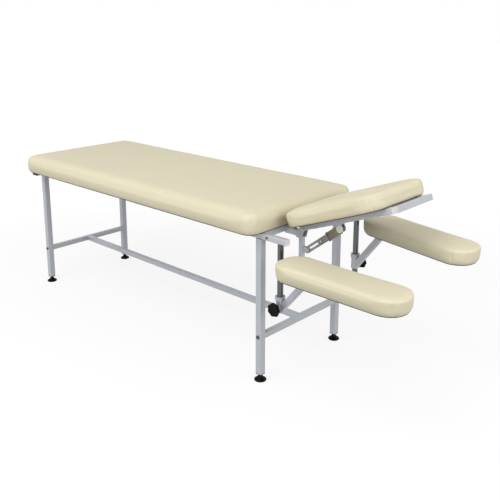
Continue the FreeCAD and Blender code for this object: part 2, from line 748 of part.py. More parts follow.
def make_strut_channel():
    channel = new_piece("strut_channel", strut_high)
    half_wide = "(plate_thickness / 2 + side_gap)"
    half_high = "(plate_width / 2 + channel_gap)"
    eye_half = "(eye_width / 2)"
    grow = "channel_wall"
    start = "-channel_length"
    body_length = "(channel_length - eye_radius / 2)"
    outer = block_of(half_wide + " + " + grow, half_high + " + " + grow)
    lip = block_of(half_wide + " + " + grow + " + collar_lip", half_high + " + " + grow + " + collar_lip")
    add_along(channel, start, body_length, outer)
    add_along(channel, start, "channel_collar", lip)
    add_across(channel, "-" + eye_half, "eye_width", ("circle", "0", "0", "eye_radius"))
    sketch = draw(channel, "YZ_Plane", start, [block_of(half_wide, half_high)])
    hollow = channel.newObject("PartDesign::Pocket", "strut_channel_hollow")
    hollow.Profile = sketch
    hollow.Reversed = True
    hollow.setExpression("Length", bind("channel_length - channel_web"))
    steps.append(("Pocket", hollow))
    cut_across(channel, "-" + eye_half, "eye_width", ("circle", "0", "0", pin_hole))


def block_of(half_y, half_z):
    return ("polygon", ("-(" + half_y + ")", "-(" + half_z + ")"), (half_y, "-(" + half_z + ")"),
            (half_y, half_z), ("-(" + half_y + ")", half_z))


def outward(sign, start, length):
    """The start of a run across the couch that points away from its middle."""
    return "-(" + start + ") - (" + length + ")" if sign else start


def make_armrest(side, sign, arm_frame, post_frame):
    bush = new_piece("armrest_bush_" + side, post_frame)
    bore = ("circle", "0", "0", "post_radius + running_gap")
    add_up(bush, bush_bottom, flange_bottom + " - " + bush_bottom, ("circle", "0", "0", "bush_radius"), bore)
    add_up(bush, flange_bottom, "flange_height", ("circle", "0", "0", "flange_radius"), bore)
    sleeve = new_piece("armrest_sleeve_" + side, arm_frame)
    boss = outward(sign, "0", "boss_reach")
    add_up(sleeve, sleeve_bottom, "sleeve_length", ("circle", "0", "0", "sleeve_radius"))
    add_across(sleeve, boss, "boss_reach", ("circle", "0", knob_z, "boss_radius"))
    cut_up(sleeve, sleeve_bottom, "sleeve_length", ("circle", "0", "0", "bush_radius + running_gap"))
    cut_across(sleeve, boss, "boss_reach", ("circle", "0", knob_z, pin_hole))
    make_arm(side, sign, arm_frame)
    make_knob(side, sign, arm_frame)
    make_arm_pad(side, sign, arm_frame)


def make_arm(side, sign, frame):
    arm = new_piece("arm_" + side, frame)
    slope = "(arm_slope * 1deg)"
    level = "(rail_side / cos(" + slope + "))"
    wall = "(tube_wall / cos(" + slope + "))"

    def slanted(low, high):
        low_end = "(" + arm_inset + " + (arm_rise - (" + low + ")) / tan(" + slope + "))"
        high_end = "(" + arm_inset + " + (arm_rise - (" + high + ")) / tan(" + slope + "))"
        start = sleeve_bottom + " + "
        return ("polygon", (arm_inset, start + low), (low_end, arm_top), (high_end, arm_top),
                (arm_inset, start + high))

    add_across(arm, "-" + rail_half, "rail_side", slanted("0", level))
    round_edges(arm, "tube_corner", lambda box, whole: box.XLength > whole.XLength / 2 and box.YLength < 1)
    inner = slanted(wall, level + " - " + wall)
    cut_across(arm, "-" + rail_half + " + tube_wall", "rail_side - 2 * tube_wall", inner)
    cut_up(arm, sleeve_bottom, "sleeve_length", ("circle", "0", "0", "sleeve_radius"))
    middle = "(arm_plate_start + arm_plate_length / 2)"
    spots = arm_screws()
    plate = block(middle, "0", "arm_plate_length", "arm_plate_width")
    add_up(arm, arm_top, "arm_plate_thickness", plate, *[("circle", x, y, screw_hole) for x, y in spots])
    add_screws("arm_screws_" + side, arm_top, "arm_plate_thickness", spots, frame)


def arm_screws():
    """The places of the four screws in an armrest's plate."""
    rows = ("(arm_plate_start + arm_screw_inset)", "(arm_plate_start + arm_plate_length - arm_screw_inset)")
    lines = ("-(arm_plate_width / 2 - screw_head_radius)", "(arm_plate_width / 2 - screw_head_radius)")
    return [(x, y) for x in rows for y in lines]


def make_knob(side, sign, frame):
    knob = new_piece("armrest_knob_" + side, frame)
    neck_start = "(boss_reach + knob_play)"
    tip = "(bush_radius + knob_tip_gap)"
    stud = "(" + neck_start + " - " + tip + ")"
    head_start = "(" + neck_start + " + knob_neck)"
    start = outward(sign, head_start, "knob_thickness")
    lobes = 5
    add_across(knob, start, "knob_thickness", ("circle", "0", knob_z, "lobe_circle"))
    for lobe in range(lobes):
        turn = "(%d deg)" % (90 + 360 * lobe // lobes)
        x = "lobe_circle * cos" + turn
        height = knob_z + " + lobe_circle * sin" + turn
        add_across(knob, start, "knob_thickness", ("circle", x, height, "lobe_radius"))
    add_across(knob, outward(sign, neck_start, "knob_neck"), "knob_neck",
               ("circle", "0", knob_z, "knob_neck_radius"))
    add_across(knob, outward(sign, tip, stud), stud, ("circle", "0", knob_z, "pin_radius"))


def make_arm_pad(side, sign, frame):
    centre = "-arm_offset" if sign else "arm_offset"
    outline = ["arm_start", centre + " - arm_width / 2", "(arm_start + arm_length)",
               centre + " + arm_width / 2"]
    body_radius = "(arm_body_corner - board_inset)"
    head_radius = "(arm_head_corner - board_inset)"
    seat = "(" + arm_top + " + arm_plate_thickness)"
    board = new_piece("armrest_board_" + side, frame)
    add_up(board, seat, "board_thickness", grown(outline, "-board_inset", body_radius, head_radius))
    cut_up(board, seat, "screw_bite + soft_gap", *[("circle", x, y, screw_hole) for x, y in arm_screws()])
    cushion = new_piece("armrest_cushion_" + side, frame)
    bottom = "(" + seat + " + skirt_rise)"
    add_up(cushion, bottom, "arm_pad_thickness", grown(outline, "0", "arm_body_corner", "arm_head_corner"))
    round_edges(cushion, "arm_round", lambda box, whole: at_level(box, whole.ZMax))
    round_edges(cushion, "hem_round", lambda box, whole: at_level(box, whole.ZMin))
    cut_up(cushion, bottom, "board_thickness - skirt_rise + soft_gap",
           grown(outline, "-board_inset + soft_gap", body_radius, head_radius))


make_legs()
make_leg_plugs()
make_levellers()
make_stretchers()
make_top_frame()
make_bracket_ends()
make_main_pad()
make_hinges()
make_strut_post()
make_headrest()
make_headrest_frame()
make_strut()
for armrest in sides:
    make_armrest(*armrest)
doc.recompute()

for item in doc.Objects:
    if "Invalid" in item.State or "Error" in item.State:
        raise RuntimeError("not built: " + item.Name)
for kind, feature in steps:
    change = feature.Shape.Volume - (feature.BaseFeature.Shape.Volume if feature.BaseFeature else 0)
    if (kind == "Pocket" and change > -0.1) or (kind == "Pad" and change < 0.1):
        raise RuntimeError("changes nothing: " + feature.Name)
for body in pieces:
    if body.Shape.isNull() or not body.Shape.isValid():
        raise RuntimeError("bad shape: " + body.Label)

os.makedirs("parts", exist_ok=True)
for body in pieces:
    body.Shape.exportStep(os.path.join("parts", body.Label + ".step"))
    box = body.Shape.BoundBox
    print("%-24s %d solids, x %.1f to %.1f, y %.1f to %.1f, z %.1f to %.1f" % (
        body.Label, len(body.Shape.Solids), box.XMin, box.XMax, box.YMin, box.YMax, box.ZMin, box.ZMax))
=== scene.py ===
import json
import math

import bmesh
import bpy
import numpy as np
from mathutils import Matrix, Vector


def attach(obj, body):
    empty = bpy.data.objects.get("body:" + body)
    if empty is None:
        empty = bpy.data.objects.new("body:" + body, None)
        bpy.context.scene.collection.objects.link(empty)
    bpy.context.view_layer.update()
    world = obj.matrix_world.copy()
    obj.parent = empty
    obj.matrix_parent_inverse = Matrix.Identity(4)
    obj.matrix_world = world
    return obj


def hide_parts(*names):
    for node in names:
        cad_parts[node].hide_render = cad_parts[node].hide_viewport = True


# A padded massage couch: four upholstered pads on a silver tube frame.
# X runs to the head end, Y to the far side and Z up, in metres.

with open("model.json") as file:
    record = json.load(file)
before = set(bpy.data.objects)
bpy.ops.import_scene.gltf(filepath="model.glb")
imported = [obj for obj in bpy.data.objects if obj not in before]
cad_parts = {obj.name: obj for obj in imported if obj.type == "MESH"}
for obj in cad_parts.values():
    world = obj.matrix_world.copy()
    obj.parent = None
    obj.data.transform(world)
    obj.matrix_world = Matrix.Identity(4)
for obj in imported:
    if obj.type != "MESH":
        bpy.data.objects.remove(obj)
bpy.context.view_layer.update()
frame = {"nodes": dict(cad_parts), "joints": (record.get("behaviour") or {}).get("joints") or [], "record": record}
cadNodes = frame["nodes"]
joints = {joint["name"]: joint for joint in frame["joints"]}
slotOf = {part["node"]: part["material_slot"] for part in frame["record"]["subparts"]}
scene = bpy.context.scene
print("frame loaded:", len(cadNodes), "nodes")


# Camera

cameraSettings = {
    "place": (2.28781, -2.23315, 1.52431),
    "pitchDown": 0.22996,
    "heading": 0.75271,
    "lens": 50.21,
    "sensor": 36,
    "shiftUp": -0.15267,
}

cameraData = bpy.data.cameras.new("photoCamera")
cameraData.lens = cameraSettings["lens"]
cameraData.sensor_width = cameraSettings["sensor"]
cameraData.sensor_fit = "HORIZONTAL"
cameraData.shift_y = cameraSettings["shiftUp"]
camera = bpy.data.objects.new("photoCamera", cameraData)
camera.location = cameraSettings["place"]
camera.rotation_euler = (math.pi / 2 - cameraSettings["pitchDown"], 0, cameraSettings["heading"])
scene.collection.objects.link(camera)
scene.camera = camera
scene.view_settings.view_transform = "Standard"
print("camera placed")


# Node groups shared by the finishes

def addNode(tree, kind, values=None, **settings):
    node = tree.nodes.new(kind)
    for name, setting in settings.items():
        setattr(node, name, setting)
    for name, entry in (values or {}).items():
        if isinstance(entry, bpy.types.NodeSocket):
            tree.links.new(entry, node.inputs[name])
        else:
            node.inputs[name].default_value = entry
    return node


def newGroup(name, inputs, outputs):
    tree = bpy.data.node_groups.new(name, "ShaderNodeTree")
    for label, kind, start in inputs:
        socket = tree.interface.new_socket(label, in_out="INPUT", socket_type="NodeSocket" + kind)
        if start is not None:
            socket.default_value = start
    for label, kind in outputs:
        tree.interface.new_socket(label, in_out="OUTPUT", socket_type="NodeSocket" + kind)
    return tree, addNode(tree, "NodeGroupInput"), addNode(tree, "NodeGroupOutput")


def joinOut(tree, groupOut, **sockets):
    for label, socket in sockets.items():
        tree.links.new(socket, groupOut.inputs[label])


tintNoise = {
    "detail": 5.0,
    "roughness": 0.6,
    "low": 0.3,
    "high": 0.7,
}


def makeTintGroup():
    # The colour times one plus the amount times soft noise, which is stretched to lie around nought.
    tree, given, out = newGroup(
        "softTint",
        [("Vector", "Vector", None), ("Color", "Color", (0.8, 0.8, 0.8, 1)), ("Scale", "Float", 4.0),
         ("Amount", "Float", 0.04)],
        [("Color", "Color"), ("Mask", "Float")])
    broad = addNode(tree, "ShaderNodeTexNoise", {
        "Vector": given.outputs["Vector"], "Scale": given.outputs["Scale"],
        "Detail": tintNoise["detail"], "Roughness": tintNoise["roughness"]})
    level = addNode(tree, "ShaderNodeMapRange", {
        "Value": broad.outputs["Fac"], "From Min": tintNoise["low"], "From Max": tintNoise["high"],
        "To Min": -1.0, "To Max": 1.0})
    scaled = addNode(tree, "ShaderNodeMath", {
        0: level.outputs["Result"], 1: given.outputs["Amount"], 2: 1.0}, operation="MULTIPLY_ADD")
    tinted = addNode(tree, "ShaderNodeVectorMath", {
        0: given.outputs["Color"], "Scale": scaled.outputs[0]}, operation="SCALE")
    joinOut(tree, out, Color=tinted.outputs["Vector"], Mask=broad.outputs["Fac"])
    return tree


grainNoise = {
    "bendScale": 160.0,
    "bend": (0.0016, 0.0016, 0.0016),
    "fineScale": 1900.0,
    "cellEdge": 0.75,
    "creviceFrom": 0.35,
    "creviceTo": 0.8,
}


def makeGrainGroup():
    # Height of pebbled skin: rounded cells, bent by noise, mixed with finer noise by the softness.
    tree, given, out = newGroup(
        "pebbleGrain",
        [("Vector", "Vector", None), ("Scale", "Float", 700.0), ("Softness", "Float", 0.5)],
        [("Height", "Float"), ("Crevice", "Float")])
    place = given.outputs["Vector"]
    bend = addNode(tree, "ShaderNodeTexNoise", {
        "Vector": place, "Scale": grainNoise["bendScale"], "Detail": 2.0})
    bent = addNode(tree, "ShaderNodeVectorMath", {
        0: bend.outputs["Color"], 1: grainNoise["bend"], 2: place}, operation="MULTIPLY_ADD")
    cells = addNode(tree, "ShaderNodeTexVoronoi", {
        "Vector": bent.outputs["Vector"], "Scale": given.outputs["Scale"]}, feature="SMOOTH_F1")
    fine = addNode(tree, "ShaderNodeTexNoise", {
        "Vector": place, "Scale": grainNoise["fineScale"], "Detail": 1.0})
    height = addNode(tree, "ShaderNodeMapRange", {
        "Value": cells.outputs["Distance"], "From Min": 0.0, "From Max": grainNoise["cellEdge"],
        "To Min": 1.0, "To Max": 0.0})
    mixed = addNode(tree, "ShaderNodeMix", {
        0: given.outputs["Softness"], 2: height.outputs["Result"], 3: fine.outputs["Fac"]}, data_type="FLOAT")
    # The crevice mask, which the cover uses to paint shade into the grain's crevices.
    creviceShadeMask = addNode(tree, "ShaderNodeMapRange", {
        "Value": cells.outputs["Distance"], "From Min": grainNoise["creviceFrom"],
        "From Max": grainNoise["creviceTo"], "To Min": 0.0, "To Max": 1.0})
    joinOut(tree, out, Height=mixed.outputs[0], Crevice=creviceShadeMask.outputs["Result"])
    return tree


scuffNoise = {
    "turn": (0.3, 0.5, 0.7),
    "stretch": (1.0, 7.0, 3.0),
    "bend": 0.6,
    "middle": 0.5,
    "lineWidth": 0.02,
    "patchScale": 9.0,
    "patchFade": 0.12,
}


def makeScuffGroup():
    # Thin marks: stretched noise, kept only where it is near its middle and where a broad noise is high.
    tree, given, out = newGroup(
        "fineScuffs",
        [("Vector", "Vector", None), ("Scale", "Float", 30.0), ("Coverage", "Float", 0.5)],
        [("Mask", "Float")])
    place = given.outputs["Vector"]
    turned = addNode(tree, "ShaderNodeMapping", {
        "Vector": place, "Rotation": scuffNoise["turn"], "Scale": scuffNoise["stretch"]})
    line = addNode(tree, "ShaderNodeTexNoise", {
        "Vector": turned.outputs["Vector"], "Scale": given.outputs["Scale"],
        "Detail": 3.0, "Distortion": scuffNoise["bend"]})
    away = addNode(tree, "ShaderNodeMath", {0: line.outputs["Fac"], 1: scuffNoise["middle"]},
                   operation="SUBTRACT")
    near = addNode(tree, "ShaderNodeMath", {0: away.outputs[0]}, operation="ABSOLUTE")
    thin = addNode(tree, "ShaderNodeMapRange", {
        "Value": near.outputs[0], "From Min": 0.0, "From Max": scuffNoise["lineWidth"],
        "To Min": 1.0, "To Max": 0.0})
    broad = addNode(tree, "ShaderNodeTexNoise", {
        "Vector": place, "Scale": scuffNoise["patchScale"], "Detail": 3.0})
    where = addNode(tree, "ShaderNodeMath", {
        0: broad.outputs["Fac"], 1: given.outputs["Coverage"]}, operation="SUBTRACT")
    kept = addNode(tree, "ShaderNodeMapRange", {
        "Value": where.outputs[0], "From Min": 0.0, "From Max": scuffNoise["patchFade"],
        "To Min": 0.0, "To Max": 1.0})
    both = addNode(tree, "ShaderNodeMath", {
        0: thin.outputs["Result"], 1: kept.outputs["Result"]}, operation="MULTIPLY")
    joinOut(tree, out, Mask=both.outputs[0])
    return tree


tintGroup = makeTintGroup()
grainGroup = makeGrainGroup()
scuffGroup = makeScuffGroup()


# Finishes

def newFinish(name):
    material = bpy.data.materials.new(name)
    material.use_nodes = True
    tree = material.node_tree
    place = addNode(tree, "ShaderNodeTexCoord").outputs["Object"]
    return material, tree, tree.nodes["Principled BSDF"], place


def useGroup(tree, group, values):
    return addNode(tree, "ShaderNodeGroup", values, node_tree=group)


def setShader(tree, shader, **entries):
    for label, entry in entries.items():
        socket = shader.inputs[label.replace("_", " ")]
        if isinstance(entry, bpy.types.NodeSocket):
            tree.links.new(entry, socket)
        else:
            socket.default_value = entry


def bumpFrom(tree, height, distance, strength, under=None):
    values = {"Height": height, "Distance": distance, "Strength": strength}
    if under is not None:
        values["Normal"] = under
    return addNode(tree, "ShaderNodeBump", values).outputs["Normal"]


def tintBy(tree, place, look):
    return useGroup(tree, tintGroup, {
        "Vector": place, "Color": look["color"], "Scale": look["tintScale"], "Amount": look["tintAmount"]})


def ranged(tree, socket, low, high):
    # The middle half of a noise, stretched to run from low to high.
    node = addNode(tree, "ShaderNodeMapRange", {
        "Value": socket, "From Min": 0.25, "From Max": 0.75, "To Min": low, "To Max": high})
    return node.outputs["Result"]


coverLook = {
    "color": (0.770, 0.712, 0.518, 1),
    "tintScale": 5.0,
    "tintAmount": 0.018,
    # Painted shade: the grain's crevices are darkened towards this colour by this share.
    "creviceShadeColor": (0.620, 0.552, 0.365, 1),
    "creviceShadeShare": 0.22,
    "roughness": (0.48, 0.58),
    "specular": 0.32,
    "grainScale": 720.0,
    "grainSoftness": 0.25,
    "grainHeight": 0.00022,
    "grainStrength": 0.5,
    "foldScale": 22.0,
    "foldHeight": 0.0009,
    "foldStrength": 0.35,
}


def makeCover():
    # Imitation leather: pebbled grain, with painted shade darkening its crevices, and slow waves where it lies
    # over the foam.
    material, tree, shader, place = newFinish("creamCover")
    grain = useGroup(tree, grainGroup, {
        "Vector": place, "Scale": coverLook["grainScale"], "Softness": coverLook["grainSoftness"]})
    tint = tintBy(tree, place, coverLook)
    shade = addNode(tree, "ShaderNodeMath", {
        0: grain.outputs["Crevice"], 1: coverLook["creviceShadeShare"]}, operation="MULTIPLY")
    color = addNode(tree, "ShaderNodeMix", {
        0: shade.outputs[0], 6: tint.outputs["Color"], 7: coverLook["creviceShadeColor"]}, data_type="RGBA")
    waves = addNode(tree, "ShaderNodeTexNoise", {
        "Vector": place, "Scale": coverLook["foldScale"], "Detail": 3.0, "Distortion": 0.4})
    folds = bumpFrom(tree, waves.outputs["Fac"], coverLook["foldHeight"], coverLook["foldStrength"])
    normal = bumpFrom(tree, grain.outputs["Height"], coverLook["grainHeight"], coverLook["grainStrength"],
                      folds)
    setShader(tree, shader, Base_Color=color.outputs[2],
              Roughness=ranged(tree, tint.outputs["Mask"], *coverLook["roughness"]),
              Normal=normal, Specular_IOR_Level=coverLook["specular"])
    return material


paintLook = {
    "color": (0.520, 0.545, 0.590, 1),
    "tintScale": 7.0,
    "tintAmount": 0.02,
    "wornColor": (0.620, 0.635, 0.650, 1),
    "scuffScale": 26.0,
    "scuffCoverage": 0.56,
    "flakeScale": 2600.0,
    "flakeRange": (1.05, 0.97),
    "roughness": (0.34, 0.44),
    "metallic": 0.30,
    "peelScale": 420.0,
    "peelHeight": 0.00012,
    "peelStrength": 0.5,
    "coat": 0.25,
    "coatRoughness": 0.18,
}


def makePaint():
    # Powder coat: fine orange peel, small metallic flakes and a few light scuffs.
    material, tree, shader, place = newFinish("silverPaint")
    tint = tintBy(tree, place, paintLook)
    flakes = addNode(tree, "ShaderNodeTexVoronoi", {"Vector": place, "Scale": paintLook["flakeScale"]})
    middle, edge = paintLook["flakeRange"]
    spark = addNode(tree, "ShaderNodeMapRange", {
        "Value": flakes.outputs["Distance"], "From Min": 0.0, "From Max": 0.5,
        "To Min": middle, "To Max": edge})
    flaked = addNode(tree, "ShaderNodeVectorMath", {
        0: tint.outputs["Color"], "Scale": spark.outputs["Result"]}, operation="SCALE")
    scuffs = useGroup(tree, scuffGroup, {
        "Vector": place, "Scale": paintLook["scuffScale"], "Coverage": paintLook["scuffCoverage"]})
    color = addNode(tree, "ShaderNodeMix", {
        0: scuffs.outputs["Mask"], 6: flaked.outputs["Vector"], 7: paintLook["wornColor"]}, data_type="RGBA")
    peel = addNode(tree, "ShaderNodeTexNoise", {
        "Vector": place, "Scale": paintLook["peelScale"], "Detail": 2.0})
    setShader(tree, shader, Base_Color=color.outputs[2], Metallic=paintLook["metallic"],
              Roughness=ranged(tree, tint.outputs["Mask"], *paintLook["roughness"]),
              Normal=bumpFrom(tree, peel.outputs["Fac"], paintLook["peelHeight"], paintLook["peelStrength"]),
              Coat_Weight=paintLook["coat"], Coat_Roughness=paintLook["coatRoughness"])
    return material


chromePaintedDarkLook = {
    # Painted reflection: the colour is set far darker than chrome to stand in for the dark things it mirrors.
    "color": (0.13, 0.13, 0.135, 1),
    "tintScale": 14.0,
    "tintAmount": 0.03,
    "wipeScale": 60.0,
    "wipeCoverage": 0.5,
    "wipeRoughness": 0.12,
    "roughness": 0.09,
}


def makeChrome():
    # Polished plate with faint wiping marks, which are rougher. Its colour is painted dark reflection, set dark to
    # stand in for the dark surroundings it mirrors.
    material, tree, shader, place = newFinish("chromePaintedDark")
    tint = tintBy(tree, place, chromePaintedDarkLook)
    scuffs = useGroup(tree, scuffGroup, {
        "Vector": place, "Scale": chromePaintedDarkLook["wipeScale"], "Coverage": chromePaintedDarkLook["wipeCoverage"]})
    rough = addNode(tree, "ShaderNodeMath", {
        0: scuffs.outputs["Mask"], 1: chromePaintedDarkLook["wipeRoughness"], 2: chromePaintedDarkLook["roughness"]},
        operation="MULTIPLY_ADD")
    setShader(tree, shader, Base_Color=tint.outputs["Color"], Metallic=1.0, Roughness=rough.outputs[0])
    return material


plasticSkin = {
    "tintScale": 20.0,
    "tintAmount": 0.06,
    "grainScale": 1500.0,
    "grainSoftness": 0.5,
    "grainStrength": 0.4,
}
blackLook = dict(plasticSkin, color=(0.003, 0.003, 0.003, 1), roughness=(0.30, 0.42),
                 grainHeight=0.00006, specular=0.09)
paleLook = dict(plasticSkin, color=(0.740, 0.740, 0.730, 1), roughness=(0.35, 0.45),
                grainHeight=0.00005, specular=0.5)


def makePlastic(name, look):
    # Moulded plastic with a fine spark-eroded skin.
    material, tree, shader, place = newFinish(name)
    tint = tintBy(tree, place, look)
    grain = useGroup(tree, grainGroup, {
        "Vector": place, "Scale": look["grainScale"], "Softness": look["grainSoftness"]})
    setShader(tree, shader, Base_Color=tint.outputs["Color"],
              Roughness=ranged(tree, tint.outputs["Mask"], *look["roughness"]),
              Normal=bumpFrom(tree, grain.outputs["Height"], look["grainHeight"], look["grainStrength"]),
              Specular_IOR_Level=look["specular"])
    return material


platedSkin = {
    "tintScale": 30.0,
    "tintAmount": 0.10,
    "scuffColor": (0.75, 0.75, 0.75, 1),
    "scuffScale": 90.0,
    "brushing": (80.0, 900.0, 900.0),
    "brushHeight": 0.00004,
    "brushStrength": 0.4,
}
darkSteelLook = dict(platedSkin, color=(0.100, 0.100, 0.105, 1), roughness=(0.32, 0.46), coverage=0.56)
brightSteelLook = dict(platedSkin, color=(0.560, 0.550, 0.520, 1), roughness=(0.22, 0.36), coverage=0.60)
plateLook = dict(platedSkin, color=(0.270, 0.260, 0.240, 1), roughness=(0.24, 0.38), coverage=0.52)
# Painted reflection: the channel's brown colour stands in for the cream pads it mirrors.
channelPaintedReflectionLook = dict(platedSkin, color=(0.190, 0.165, 0.125, 1), roughness=(0.20, 0.32), coverage=0.57)


def makeSteel(name, look):
    # Plated steel: a faint brushing along the piece, stains and scuffs.
    material, tree, shader, place = newFinish(name)
    tint = tintBy(tree, place, look)
    scuffs = useGroup(tree, scuffGroup, {
        "Vector": place, "Scale": look["scuffScale"], "Coverage": look["coverage"]})
    bright = addNode(tree, "ShaderNodeMix", {
        0: scuffs.outputs["Mask"], 6: tint.outputs["Color"], 7: look["scuffColor"]}, data_type="RGBA")
    stretched = addNode(tree, "ShaderNodeMapping", {"Vector": place, "Scale": look["brushing"]})
    brushing = addNode(tree, "ShaderNodeTexNoise", {
        "Vector": stretched.outputs["Vector"], "Scale": 1.0, "Detail": 2.0})
    setShader(tree, shader, Base_Color=bright.outputs[2], Metallic=1.0,
              Roughness=ranged(tree, tint.outputs["Mask"], *look["roughness"]),
              Normal=bumpFrom(tree, brushing.outputs["Fac"], look["brushHeight"], look["brushStrength"]))
    return material


boardLook = {
    "plyDark": (0.034, 0.024, 0.017, 1),
    "plyPale": (0.105, 0.074, 0.048, 1),
    "ply": 0.00133,
    "plySeam": 0.3,
    "stretch": (3.0, 60.0, 60.0),
    "grainScale": 2.0,
    "grainHeight": 0.0002,
    "grainStrength": 0.4,
    "stain": 0.30,
    "roughness": (0.5, 0.7),
}


def makeBoard(name, tilt):
    # Dark plywood: dark and pale plies by the sign of a sine of the height, over long grain.
    material, tree, shader, place = newFinish(name)
    level = addNode(tree, "ShaderNodeMapping", {"Vector": place, "Rotation": (0.0, tilt, 0.0)})
    parts = addNode(tree, "ShaderNodeSeparateXYZ", {"Vector": level.outputs["Vector"]})
    count = addNode(tree, "ShaderNodeMath", {
        0: parts.outputs["Z"], 1: math.pi / boardLook["ply"]}, operation="MULTIPLY")
    wave = addNode(tree, "ShaderNodeMath", {0: count.outputs[0]}, operation="SINE")
    band = addNode(tree, "ShaderNodeMapRange", {
        "Value": wave.outputs[0], "From Min": -boardLook["plySeam"], "From Max": boardLook["plySeam"],
        "To Min": 0.0, "To Max": 1.0})
    plies = addNode(tree, "ShaderNodeMix", {
        0: band.outputs["Result"], 6: boardLook["plyDark"], 7: boardLook["plyPale"]}, data_type="RGBA")
    long = addNode(tree, "ShaderNodeMapping", {
        "Vector": level.outputs["Vector"], "Scale": boardLook["stretch"]})
    grain = addNode(tree, "ShaderNodeTexNoise", {
        "Vector": long.outputs["Vector"], "Scale": boardLook["grainScale"], "Detail": 6.0, "Distortion": 0.3})
    color = useGroup(tree, tintGroup, {
        "Vector": long.outputs["Vector"], "Color": plies.outputs[2], "Scale": boardLook["grainScale"],
        "Amount": boardLook["stain"]})
    setShader(tree, shader, Base_Color=color.outputs["Color"],
              Roughness=ranged(tree, grain.outputs["Fac"], *boardLook["roughness"]),
              Normal=bumpFrom(tree, grain.outputs["Fac"], boardLook["grainHeight"],
                              boardLook["grainStrength"]))
    return material


headrestTilt = math.radians(20.5)
farSwing = math.radians(12)
creamCover = makeCover()
finishes = {
    "cream_cover": creamCover,
    "board_wood": makeBoard("darkPlyBoard", 0.0),
    "silver_paint": makePaint(),
    "chrome": makeChrome(),
    "black_plastic": makePlastic("blackPlastic", blackLook),
    "pale_plastic": makePlastic("palePlastic", paleLook),
    "dark_steel": makeSteel("darkSteel", darkSteelLook),
    "bright_steel": makeSteel("brightSteel", brightSteelLook),
}
special = {
    "headrest_board": makeBoard("tiltedBoard", headrestTilt),
    "strut_plate": makeSteel("plateSteel", plateLook),
    # The channel's finish carries painted reflection of the cream pads.
    "strut_channel": makeSteel("channelPaintedReflection", channelPaintedReflectionLook),
}
print("finishes made:", len(finishes) + len(special))


# Frame nodes: finish, welded and smoothed where they are round

smoothSettings = {
    "weld": 0.00001,
    "sharpFrom": math.radians(33),
}


def makeSmoothing():
    tree = bpy.data.node_groups.new("smoothRounds", "GeometryNodeTree")
    tree.interface.new_socket("Geometry", in_out="INPUT", socket_type="NodeSocketGeometry")
    tree.interface.new_socket("Geometry", in_out="OUTPUT", socket_type="NodeSocketGeometry")
    given = addNode(tree, "NodeGroupInput")
    out = addNode(tree, "NodeGroupOutput")
    merged = addNode(tree, "GeometryNodeMergeByDistance", {
        "Geometry": given.outputs[0], "Distance": smoothSettings["weld"]})
    angle = addNode(tree, "GeometryNodeInputMeshEdgeAngle")
    gentle = addNode(tree, "FunctionNodeCompare", {
        0: angle.outputs["Unsigned Angle"], 1: smoothSettings["sharpFrom"]},
        data_type="FLOAT", operation="LESS_THAN")
    faces = addNode(tree, "GeometryNodeSetShadeSmooth", {"Geometry": merged.outputs["Geometry"]},
                    domain="FACE")
    edges = addNode(tree, "GeometryNodeSetShadeSmooth", {
        "Geometry": faces.outputs["Geometry"], "Shade Smooth": gentle.outputs[0]}, domain="EDGE")
    tree.links.new(edges.outputs["Geometry"], out.inputs[0])
    return tree


smoothing = makeSmoothing()


def dressNode(piece, material):
    piece.data.materials.clear()
    piece.data.materials.append(material)
    modifier = piece.modifiers.new("smoothRounds", "NODES")
    modifier.node_group = smoothing


for nodeName, piece in cadNodes.items():
    dressNode(piece, special.get(nodeName, finishes[slotOf[nodeName]]))
print("frame nodes dressed")


# Surfaces from grids

gridClean = {
    "doubles": 0.00002,
    "slivers": 0.000005,
}


def addPiece(name, mesh, body, material):
    mesh.materials.append(material)
    piece = bpy.data.objects.new(name, mesh)
    scene.collection.objects.link(piece)
    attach(piece, body)
    return piece


def gridFaces(rows, columns, closeRows):
    # Each face joins four neighbours of the grid; columns always run all the way round.
    row = np.arange(rows if closeRows else rows - 1)[:, None]
    column = np.arange(columns)[None, :]
    below, above = row * columns, (row + 1) % rows * columns
    after = (column + 1) % columns
    faces = np.stack([below + column, below + after, above + after, above + column], axis=-1)
    return faces.reshape(-1, 4)


def gridMesh(name, points, closeRows=False):
    # points is rows by columns by three; doubles are merged and the faces turned outwards.
    rows, columns = points.shape[:2]
    mesh = bpy.data.meshes.new(name)
    mesh.from_pydata(points.reshape(-1, 3).tolist(), [], gridFaces(rows, columns, closeRows).tolist())
    shell = bmesh.new()
    shell.from_mesh(mesh)
    bmesh.ops.remove_doubles(shell, verts=shell.verts, dist=gridClean["doubles"])
    bmesh.ops.dissolve_degenerate(shell, edges=shell.edges, dist=gridClean["slivers"])
    bmesh.ops.recalc_face_normals(shell, faces=shell.faces)
    shell.to_mesh(mesh)
    shell.free()
    mesh.polygons.foreach_set("use_smooth", np.ones(len(mesh.polygons), bool))
    return mesh


def padFrame(jointName, axis, angle):
    return Matrix.Translation(joints[jointName]["pos_m"]) @ Matrix.Rotation(angle, 4, axis)


def meshSpots(mesh):
    # The mesh's points as rows of three.
    spots = np.zeros(len(mesh.vertices) * 3)
    mesh.vertices.foreach_get("co", spots)
    return spots.reshape(-1, 3)


def localBox(node, place):
    # Lowest and highest of the node's points times the inverse of the pad's own frame.
    spots = meshSpots(cadNodes[node].data)
    turned = np.array(place.inverted()) @ np.c_[spots, np.ones(len(spots))].T
    return turned[:3].min(axis=1), turned[:3].max(axis=1)


